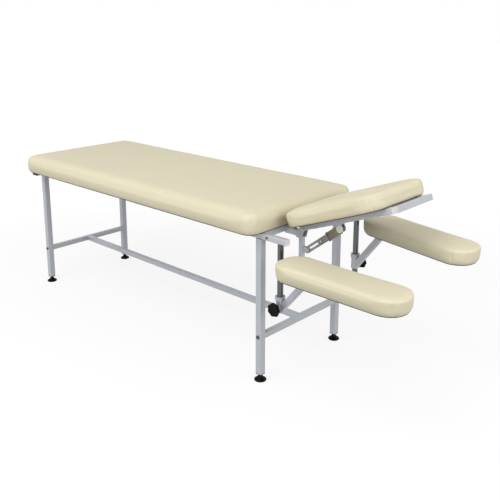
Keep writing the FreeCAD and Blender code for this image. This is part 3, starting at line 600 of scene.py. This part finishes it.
def roundedOutline(left, right, half, leftRadius, rightRadius, spacing):
    # Each point is a core point plus a radius times its outward direction.
    # All three are interpolated over the length along one half, from the right middle to the left middle.
    runs = [half - rightRadius, rightRadius * math.pi / 2, right - rightRadius - left - leftRadius,
            leftRadius * math.pi / 2, half - leftRadius]
    knots = np.concatenate([[0.0], np.cumsum(runs)])
    along = np.linspace(0, knots[-1], int(knots[-1] / spacing))
    angle = np.interp(along, knots, np.radians([0, 0, 90, 90, 180, 180]))
    radius = np.interp(along, knots, [rightRadius] * 3 + [leftRadius] * 3)
    coreX = np.interp(along, knots, [right - rightRadius] * 3 + [left + leftRadius] * 3)
    coreY = np.interp(along, knots, [0, half - rightRadius, half - rightRadius, half - leftRadius,
                                     half - leftRadius, 0])
    back = slice(-2, 0, -1)
    total = 2 * knots[-1]
    return {
        "angle": np.concatenate([angle, -angle[back]]),
        "radius": np.concatenate([radius, radius[back]]),
        "coreX": np.concatenate([coreX, coreX[back]]),
        "coreY": np.concatenate([coreY, -coreY[back]]),
        "turn": np.concatenate([along, total - along[back]]) / total,
        "slotKnots": np.interp(np.concatenate([along, along[back]]), knots, range(6)),
        "total": total,
    }


def insetPoints(outline, inset):
    # The core point plus the radius, less the inset, times the outward direction.
    reach = outline["radius"] - inset
    return (outline["coreX"] + reach * np.cos(outline["angle"]),
            outline["coreY"] + reach * np.sin(outline["angle"]))


# Pads

def edgeDistance(x, y, pad):
    # Depth inside a rounded rectangle whose two ends have their own corner radius:
    # that radius, less the distance outside the core rectangle, or plus the depth inside it.
    middle, reach = (pad["left"] + pad["right"]) / 2, (pad["right"] - pad["left"]) / 2
    radius = np.where(x > middle, pad["rightRadius"], pad["leftRadius"])
    overX = np.abs(x - middle) - (reach - radius)
    overY = np.abs(y) - (pad["half"] - radius)
    outside = np.hypot(np.maximum(overX, 0), np.maximum(overY, 0))
    return radius - outside - np.minimum(np.maximum(overX, overY), 0)


coverShape = {
    "ripples": 6,
    "rippleLength": (0.7, 1.8),
    "rippleShare": 3,
    "rippleSeed": 100,
    "gatherDrift": (0.5, 1.3),
    "driftTurns": (3, 7, 13),
    "phase": 6.28,
    "creaseSpread": 38,
    "creaseWidth": (2.2, 5.0),
    "creaseStrength": (0.4, 1.0),
    "boardGap": 0.0003,
}


def slowWaves(x, y, pad):
    # A sum of sine ripples in drawn directions, about one unit high, drawn apart from the gathers.
    draw = np.random.default_rng(pad["seed"] + coverShape["rippleSeed"])
    total = np.zeros_like(x)
    for _ in range(coverShape["ripples"]):
        heading, phase = draw.uniform(0, 2 * math.pi, 2)
        length = pad["waveSize"] * draw.uniform(*coverShape["rippleLength"])
        total += np.sin((x * math.cos(heading) + y * math.sin(heading)) * 2 * math.pi / length + phase)
    return total / coverShape["rippleShare"]


def hemPuckers(outline, pad, draw):
    # Gathers round the hem: half of one minus a cosine whose phase drifts along the edge,
    # times a strength that changes slowly, times a depth that grows at the corners.
    turn = outline["turn"] * 2 * math.pi
    count = round(outline["total"] / pad["puckerSpacing"])
    phase = coverShape["phase"]
    drift = sum(draw.uniform(*coverShape["gatherDrift"]) * np.sin(turn * step + draw.uniform(0, phase))
                for step in coverShape["driftTurns"])
    strength = 0.55 + 0.25 * np.sin(turn * 5 + draw.uniform(0, phase)) + 0.20 * np.sin(turn * 17 + 1.0)
    corner = np.abs(np.sin(2 * outline["angle"])) ** 0.5
    depth = pad["hemPucker"] + pad["cornerPucker"] * corner
    return (0.5 - 0.5 * np.cos(count * turn + drift)) * strength * depth


def cornerCreases(outline, pad, draw):
    # A few narrow creases across each corner's rim, each an exponential of minus the angle squared.
    total = np.zeros_like(outline["turn"])
    spread = coverShape["creaseSpread"]
    for corner in (45, 135, -135, -45):
        for _ in range(pad["creases"]):
            centre = math.radians(corner + draw.uniform(-spread, spread))
            width = math.radians(draw.uniform(*coverShape["creaseWidth"]))
            strength = draw.uniform(*coverShape["creaseStrength"])
            total += strength * np.exp(-((outline["angle"] - centre) / width) ** 2)
    return total * pad["creaseDepth"]


rimGrid = {
    "hemRows": 9,
    "sideRows": 7,
    "roundRows": 15,
    "slotRows": 9,
    "wallShares": (0.33, 0.66),
    "closing": 1.15,
}


def rimRows(outline, pad, draw):
    # The rows from the hem, up the side, to the inner end of the top rounding.
    # Hem and rounding are quarter ellipses, the side bows by a sine, and a parabola pulls its middle in.
    # The gathers fade upwards as an exponential, and the creases follow the square of a sine.
    quarter = np.linspace(0, math.pi / 2, rimGrid["hemRows"])
    hem, hemDown, across, down = pad["hemAcross"], pad["hemDown"], pad["roundAcross"], pad["roundDown"]
    low, high = pad["bottom"], pad["top"] - pad["crown"]
    side = np.linspace(0, 1, rimGrid["sideRows"])[1:-1]
    topQuarter = np.linspace(0, math.pi / 2, rimGrid["roundRows"])
    inset = np.concatenate([hem * (1 - np.sin(quarter)), -pad["bulge"] * np.sin(side * math.pi),
                            across * (1 - np.cos(topQuarter))])
    height = np.concatenate([low + hemDown * (1 - np.cos(quarter)),
                             low + hemDown + side * (high - down - low - hemDown),
                             high - down * (1 - np.sin(topQuarter))])
    x, y = insetPoints(outline, 0.0)
    middle, reach = (pad["left"] + pad["right"]) / 2, (pad["right"] - pad["left"]) / 2
    pull = pad["pullIn"] * (np.sin(outline["angle"]) ** 2 * (1 - ((x - middle) / reach) ** 2)
                            + np.cos(outline["angle"]) ** 2 * (1 - (y / pad["half"]) ** 2))
    nearHem = np.exp(-(height - low) / pad["puckerReach"])
    onRim = np.sin(np.clip((height - low) / (high - low), 0, 1) * math.pi) ** 2
    insets = (inset[:, None] + pull[None, :] + nearHem[:, None] * hemPuckers(outline, pad, draw)[None, :]
              + onRim[:, None] * cornerCreases(outline, pad, draw)[None, :])
    x, y = insetPoints(outline, insets)
    return x, y, np.repeat(height[:, None], len(outline["angle"]), axis=1)


def topHeight(x, y, pad):
    # The crown rises by one minus an exponential of the distance from the rim, and slow waves grow with it.
    inside = np.maximum(edgeDistance(x, y, pad) - pad["roundAcross"], 0)
    rise = 1 - np.exp(-inside / pad["crownReach"])
    return pad["top"] - pad["crown"] + pad["crown"] * rise + pad["wave"] * rise * slowWaves(x, y, pad)


def plainPad(pad, outline, draw):
    # Rim rows, then rows mixed by their share between the rim and the pad's middle line.
    # The pocket below closes on the same line.
    x, y, z = rimRows(outline, pad, draw)
    middleX = np.clip(x[-1], pad["left"] + pad["half"], pad["right"] - pad["half"])
    share = np.linspace(0, 1, pad["topRows"])[1:, None] ** rimGrid["closing"]
    topX = x[-1] * (1 - share) + middleX * share
    topY = y[-1] * (1 - share)
    topZ = topHeight(topX, topY, pad)
    pocketX, pocketY = insetPoints(outline, pad["pocketInset"])
    level = np.ones_like(pocketX)
    under = [(middleX, 0 * level, pad["ceiling"] * level), (pocketX, pocketY, pad["ceiling"] * level),
             (pocketX, pocketY, pad["bottom"] * level)]
    rows = [np.stack(row, axis=-1)[None] for row in under]
    rows.append(np.stack([x, y, z], axis=-1))
    rows.append(np.stack([topX, topY, topZ], axis=-1))
    return np.concatenate(rows)


def slotOutline(outline, pad, grow):
    # The face opening's edge, paired to the outline: a core point plus a grown radius times its direction.
    angle = np.radians(np.interp(outline["slotKnots"], range(6), [0, 35, 90, 90, 145, 180]))
    angle = np.where(outline["angle"] < 0, -angle, angle)
    half = pad["slotHalf"]
    coreX = np.interp(outline["slotKnots"], range(6),
                      [pad["slotRight"] - half] * 3 + [pad["slotLeft"] + half] * 3)
    reach = half + grow
    return coreX + reach * np.cos(angle), reach * np.sin(angle)


def ringPad(pad, outline, draw):
    # Rim rows, across the top to the face opening, down its wall and back under to the pocket.
    # The top dips towards the opening by an exponential, and the opening's edge is a quarter circle.
    x, y, z = rimRows(outline, pad, draw)
    rim = pad["slotRim"]
    innerX, innerY = slotOutline(outline, pad, rim)
    share = np.linspace(0, 1, pad["topRows"])[1:, None]
    topX = x[-1] * (1 - share) + innerX * share
    topY = y[-1] * (1 - share) + innerY * share
    away = np.hypot(topX - innerX, topY - innerY)
    dip = pad["slotDip"] * np.exp(-away / pad["slotDipReach"])
    topZ = topHeight(topX, topY, pad) - dip
    quarter = np.linspace(0, math.pi / 2, rimGrid["slotRows"])[1:, None]
    rimX, rimY = [], []
    for part in quarter[:, 0]:
        edgeX, edgeY = slotOutline(outline, pad, rim * (1 - math.sin(part)))
        rimX.append(edgeX)
        rimY.append(edgeY)
    rimZ = topZ[-1] - rim * (1 - np.cos(quarter))
    wallX, wallY = slotOutline(outline, pad, 0.0)
    level = np.ones_like(wallX)
    ledgeX, ledgeY = slotOutline(outline, pad, pad["slotLedge"])
    pocketX, pocketY = insetPoints(outline, pad["pocketInset"])
    under = []
    for part in rimGrid["wallShares"]:
        under.append((wallX, wallY, rimZ[-1] * (1 - part) + pad["bottom"] * part))
    under.append((wallX, wallY, pad["bottom"] * level))
    under.append((ledgeX, ledgeY, pad["bottom"] * level))
    under.append((ledgeX, ledgeY, pad["ceiling"] * level))
    under.append((pocketX, pocketY, pad["ceiling"] * level))
    under.append((pocketX, pocketY, pad["bottom"] * level))
    rows = [np.stack([x, y, z], axis=-1), np.stack([topX, topY, topZ], axis=-1),
            np.stack([np.array(rimX), np.array(rimY), rimZ], axis=-1)]
    rows += [np.stack(row, axis=-1)[None] for row in under]
    return np.concatenate(rows)


def settleCover(piece, low, settle):
    # The cover swells a little under pressure from its foam, held along the hem.
    # Each move is cut to the cap times the hyperbolic tangent of its length over the cap.
    mesh = piece.data
    start = meshSpots(mesh)
    held = piece.vertex_groups.new(name="held")
    held.add(np.nonzero(low)[0].tolist(), 1.0, "REPLACE")
    modifier = piece.modifiers.new("cover", "CLOTH")
    cloth = modifier.settings
    cloth.quality = settle["quality"]
    cloth.mass = settle["mass"]
    cloth.vertex_group_mass = "held"
    cloth.use_pressure = True
    cloth.uniform_pressure_force = settle["pressure"]
    cloth.effector_weights.gravity = 0
    cloth.tension_stiffness = settle["tension"]
    cloth.bending_stiffness = settle["bending"]
    for step in range(1, settle["steps"] + 1):
        scene.frame_set(step)
    swollen = piece.evaluated_get(bpy.context.evaluated_depsgraph_get())
    move = meshSpots(swollen.data) - start
    length = np.maximum(np.linalg.norm(move, axis=1), 1e-9)
    move *= (settle["cap"] * np.tanh(length / settle["cap"]) / length)[:, None]
    piece.modifiers.remove(modifier)
    piece.vertex_groups.remove(held)
    mesh.vertices.foreach_set("co", (start + move).ravel())
    mesh.update()
    scene.frame_set(1)


def makePad(name, node, board, body, place, pad):
    low, high = localBox(node, place)
    boardHigh = localBox(board, place)[1]
    acrossMiddle = (low[1] + high[1]) / 2
    pad.update(left=low[0], right=high[0], half=(high[1] - low[1]) / 2, bottom=low[2], top=high[2],
               ceiling=boardHigh[2] + coverShape["boardGap"],
               pocketInset=pad["boardInset"] - coverShape["boardGap"])
    outline = roundedOutline(pad["left"], pad["right"], pad["half"], pad["leftRadius"], pad["rightRadius"],
                             pad["spacing"])
    draw = np.random.default_rng(pad["seed"])
    points = (ringPad if "slotHalf" in pad else plainPad)(pad, outline, draw)
    points[..., 1] += acrossMiddle
    mesh = gridMesh(name, points, closeRows="slotHalf" in pad)
    heights = meshSpots(mesh)[:, 2]
    mesh.transform(place)
    piece = addPiece(name, mesh, body, creamCover)
    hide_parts(node)
    settleCover(piece, heights < pad["bottom"] + pad["settle"]["heldHeight"], pad["settle"])
    print("pad made:", name, len(mesh.polygons), "faces")


coverSettle = {
    "quality": 4, "mass": 0.4, "pressure": 1.5, "tension": 12.0, "bending": 0.6, "steps": 20, "cap": 0.004,
    "heldHeight": 0.016,
}
mainPad = {
    "settle": coverSettle,
    "leftRadius": 0.055, "rightRadius": 0.055, "spacing": 0.0048, "topRows": 24, "seed": 3,
    "boardInset": 0.012, "hemAcross": 0.0105, "hemDown": 0.036, "roundAcross": 0.026, "roundDown": 0.034,
    "crown": 0.005, "crownReach": 0.05, "bulge": 0.0005, "pullIn": 0.0025, "wave": 0.0007, "waveSize": 0.26,
    "puckerSpacing": 0.024, "hemPucker": 0.0005, "cornerPucker": 0.0013, "puckerReach": 0.011,
    "creases": 2, "creaseDepth": 0.0009,
}
headrestPad = {
    "settle": coverSettle,
    "leftRadius": 0.100, "rightRadius": 0.090, "spacing": 0.0034, "topRows": 18, "seed": 11,
    "boardInset": 0.012, "hemAcross": 0.0105, "hemDown": 0.028, "roundAcross": 0.018, "roundDown": 0.016,
    "crown": 0.004, "crownReach": 0.035, "bulge": 0.0006, "pullIn": 0.0015, "wave": 0.0006, "waveSize": 0.14,
    "puckerSpacing": 0.016, "hemPucker": 0.0022, "cornerPucker": 0.0034, "puckerReach": 0.012,
    "creases": 3, "creaseDepth": 0.0011,
    "slotLeft": 0.100, "slotRight": 0.335, "slotHalf": 0.055, "slotRim": 0.008, "slotLedge": 0.0057,
    "slotDip": 0.006, "slotDipReach": 0.030,
}
armPad = {
    "settle": dict(coverSettle, cap=0.0022),
    "leftRadius": 0.080, "rightRadius": 0.086, "spacing": 0.0038, "topRows": 14,
    "boardInset": 0.012, "hemAcross": 0.0105, "hemDown": 0.032, "roundAcross": 0.013, "roundDown": 0.011,
    "crown": 0.003, "crownReach": 0.03, "bulge": 0.0003, "pullIn": 0.0015, "wave": 0.0005, "waveSize": 0.12,
    "puckerSpacing": 0.022, "hemPucker": 0.0009, "cornerPucker": 0.0030, "puckerReach": 0.014,
    "creases": 4, "creaseDepth": 0.0023,
}

makePad("mainPad", "main_cushion", "main_board", "couch", Matrix.Identity(4), mainPad)
makePad("headrestPad", "headrest_cushion", "headrest_board", "headrest",
        padFrame("headrest_tilt", "Y", -headrestTilt), headrestPad)
makePad("nearArmPad", "armrest_cushion_near", "armrest_board_near", "armrest_near",
        padFrame("armrest_swing_near", "Z", 0.0), dict(armPad, seed=23))
makePad("farArmPad", "armrest_cushion_far", "armrest_board_far", "armrest_far",
        padFrame("armrest_swing_far", "Z", -farSwing), dict(armPad, seed=37))


# Star knobs

# Each profile row is a station on the axis, the distance past it, a round radius and the lobes' share.
knobLook = {
    "lobes": 7,
    "lobeDepth": 0.055,
    "meanRadius": 0.0280,
    "columns": 160,
    "neckBack": 0.0200,
    "headBack": 0.0140,
    "profile": [
        ("stud", 0.0, 0.0, 0.0), ("stud", 0.0, 0.0040, 0.0), ("neck", 0.0, 0.0040, 0.0),
        ("neck", 0.0, 0.0105, 0.0), ("neck", 0.0008, 0.0118, 0.0), ("head", -0.0015, 0.0110, 0.0),
        ("head", 0.0, 0.0125, 0.1), ("head", 0.0002, 0.0200, 0.75), ("head", 0.0012, 0.0, 0.955),
        ("head", 0.0030, 0.0, 0.99), ("head", 0.0070, 0.0, 1.0), ("face", -0.0034, 0.0, 0.99),
        ("face", -0.0014, 0.0, 0.955), ("face", -0.0003, 0.0, 0.90), ("face", 0.0, 0.0, 0.84),
        ("face", -0.0004, 0.0155, 0.35), ("face", -0.0015, 0.0120, 0.0), ("face", -0.0018, 0.0060, 0.0),
        ("face", -0.0018, 0.0, 0.0),
    ],
}


def makeKnob(side):
    # A round radius and a lobed one, R times one plus a cosine, mixed by the share along a dished profile.
    place = padFrame("armrest_swing_" + side, "Z", 0.0 if side == "near" else -farSwing)
    start, end = localBox("armrest_knob_" + side, place)
    depth = end[1] - start[1]
    turn = np.linspace(0, 2 * math.pi, knobLook["columns"], endpoint=False)
    lobed = knobLook["meanRadius"] * (1 + knobLook["lobeDepth"] * np.cos(knobLook["lobes"] * turn))
    stations = {"stud": 0.0, "neck": depth - knobLook["neckBack"], "head": depth - knobLook["headBack"],
                "face": depth}
    rows = []
    for station, past, roundRadius, share in knobLook["profile"]:
        radius = roundRadius * (1 - share) + lobed * share
        axial = np.full_like(turn, stations[station] + past)
        rows.append(np.stack([radius * np.cos(turn), axial, radius * np.sin(turn)], axis=-1))
    points = np.array(rows)
    sign = -1.0 if side == "near" else 1.0
    base = end[1] if side == "near" else start[1]
    points[..., 1] = base + sign * points[..., 1]
    points[..., 2] += (start[2] + end[2]) / 2
    mesh = gridMesh("knob_" + side, points)
    mesh.transform(place)
    knob = addPiece("starKnob_" + side, mesh, "knob_" + side, finishes["black_plastic"])
    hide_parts("armrest_knob_" + side)


for sideName in ("near", "far"):
    makeKnob(sideName)
print("knobs made")


# Floor, backdrop and lights

studioLook = {
    "ambient": 0.50,
    "floorSide": 30.0,
    "floorColor": (0.24, 0.24, 0.24, 1),
    "floorRoughness": 0.9,
    "seenFloor": (0.95, 0.95, 0.95, 1),
    "floorGlow": 0.80,
    "fade": (1.5, 3.2),
    "glowStrength": 1.03,
}
softLights = {
    "keyLight": {"place": (0.2, -3.1, 4.6), "target": (-0.2, 0.0, 0.6), "size": (3.0, 2.8), "power": 91.0},
    "frontLight": {"place": (-1.0, -4.2, 1.5), "target": (-0.2, 0.0, 0.6), "size": (3.4, 1.6), "power": 52.0},
    "headLight": {"place": (4.4, -0.4, 2.0), "target": (0.2, 0.0, 0.6), "size": (2.6, 1.8), "power": 72.0},
}


def seesBackground(tree):
    # One for camera, mirror and glass rays, and nought for the rays that carry light.
    path = addNode(tree, "ShaderNodeLightPath")
    first = addNode(tree, "ShaderNodeMath", {
        0: path.outputs["Is Camera Ray"], 1: path.outputs["Is Glossy Ray"]}, operation="MAXIMUM")
    return addNode(tree, "ShaderNodeMath", {
        0: first.outputs[0], 1: path.outputs["Is Transmission Ray"]}, operation="MAXIMUM").outputs[0]


def makeFloor():
    mesh = bpy.data.meshes.new("studioFloor")
    side = studioLook["floorSide"]
    corners = [(-side, -side, 0), (side, -side, 0), (side, side, 0), (-side, side, 0)]
    mesh.from_pydata(corners, [], [(0, 1, 2, 3)])
    floor = bpy.data.objects.new("studioFloor", mesh)
    scene.collection.objects.link(floor)
    material = bpy.data.materials.new("paperFloor")
    material.use_nodes = True
    tree = material.node_tree
    shader = tree.nodes["Principled BSDF"]
    color = addNode(tree, "ShaderNodeMix", {
        0: seesBackground(tree), 6: studioLook["floorColor"], 7: studioLook["seenFloor"]}, data_type="RGBA")
    setShader(tree, shader, Base_Color=color.outputs[2], Roughness=studioLook["floorRoughness"],
              Specular_IOR_Level=0.0)
    glow = addNode(tree, "ShaderNodeEmission", {
        "Color": (1, 1, 1, 1), "Strength": studioLook["glowStrength"]})
    # Away from the couch the glow takes over, so that the floor meets the backdrop without an edge.
    place = addNode(tree, "ShaderNodeTexCoord").outputs["Object"]
    away = addNode(tree, "ShaderNodeVectorMath", {0: place}, operation="LENGTH")
    near, far = studioLook["fade"]
    part = addNode(tree, "ShaderNodeMapRange", {
        "Value": away.outputs["Value"], "From Min": near, "From Max": far,
        "To Min": studioLook["floorGlow"], "To Max": 1.0}, interpolation_type="SMOOTHSTEP")
    share = addNode(tree, "ShaderNodeMath", {
        0: seesBackground(tree), 1: part.outputs["Result"]}, operation="MULTIPLY")
    mix = addNode(tree, "ShaderNodeMixShader", {
        0: share.outputs[0], 1: shader.outputs[0], 2: glow.outputs[0]})
    tree.links.new(mix.outputs[0], tree.nodes["Material Output"].inputs["Surface"])
    mesh.materials.append(material)


def makeWorld():
    world = bpy.data.worlds.new("studioWorld")
    world.use_nodes = True
    scene.world = world
    tree = world.node_tree
    strength = addNode(tree, "ShaderNodeMapRange", {
        "Value": seesBackground(tree), "To Min": studioLook["ambient"], "To Max": 1.0})
    background = tree.nodes["Background"]
    background.inputs["Color"].default_value = (1, 1, 1, 1)
    tree.links.new(strength.outputs["Result"], background.inputs["Strength"])


def addSoftLight(name, place, target, size, power):
    data = bpy.data.lights.new(name, "AREA")
    data.shape = "RECTANGLE"
    data.size, data.size_y = size
    data.energy = power
    light = bpy.data.objects.new(name, data)
    light.location = place
    light.rotation_euler = (Vector(target) - Vector(place)).to_track_quat("-Z", "Y").to_euler()
    scene.collection.objects.link(light)


makeFloor()
makeWorld()
for lightName, light in softLights.items():
    addSoftLight(lightName, **light)
print("floor and lights made")
